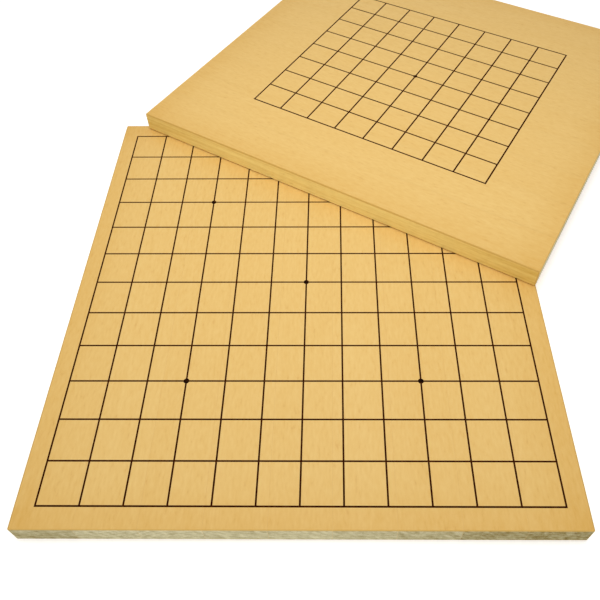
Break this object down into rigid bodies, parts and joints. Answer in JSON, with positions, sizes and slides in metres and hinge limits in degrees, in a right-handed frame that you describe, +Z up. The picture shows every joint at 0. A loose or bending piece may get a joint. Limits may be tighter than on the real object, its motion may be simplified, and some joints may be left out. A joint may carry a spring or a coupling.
{
  "type": "go board",
  "caption": "Flat reversible wooden go boards, one resting turned across the back of the other: edge-glued stave panels with a large inked grid on one face and a small one on the other.",
  "frame": {"origin": "middle of the lower board's underside", "axes": "+Z up out of the lower board's large grid, +Y along the lower board's length, towards the upper board"},
  "size_m": [0.4288, 0.5531, 0.028],
  "materials": {
    "wood": "planed pale softwood under satin clear lacquer",
    "glue": "hardened wood glue",
    "ink": "matt black-brown ink"
  },
  "bodies": {
    "lower_board": {"lower_stave_1": "wood", "lower_stave_2": "wood", "lower_stave_3": "wood", "lower_stave_4": "wood", "lower_stave_5": "wood", "lower_stave_6": "wood", "lower_stave_7": "wood", "lower_stave_8": "wood", "lower_stave_9": "wood", "lower_glue_lines": "glue", "lower_large_grid": "ink", "lower_large_stars": "ink", "lower_small_grid": "ink", "lower_small_star": "ink"},
    "upper_board": {"upper_stave_1": "wood", "upper_stave_2": "wood", "upper_stave_3": "wood", "upper_stave_4": "wood", "upper_stave_5": "wood", "upper_stave_6": "wood", "upper_stave_7": "wood", "upper_stave_8": "wood", "upper_stave_9": "wood", "upper_glue_lines": "glue", "upper_large_grid": "ink", "upper_large_stars": "ink", "upper_small_grid": "ink", "upper_small_star": "ink"}
  },
  "joints": [
    {"name": "upper_board_lift", "type": "slide", "parent": "lower_board", "child": "upper_board", "axis": [0, 0, 1], "range_m": [0, 0.15]}
  ]
}
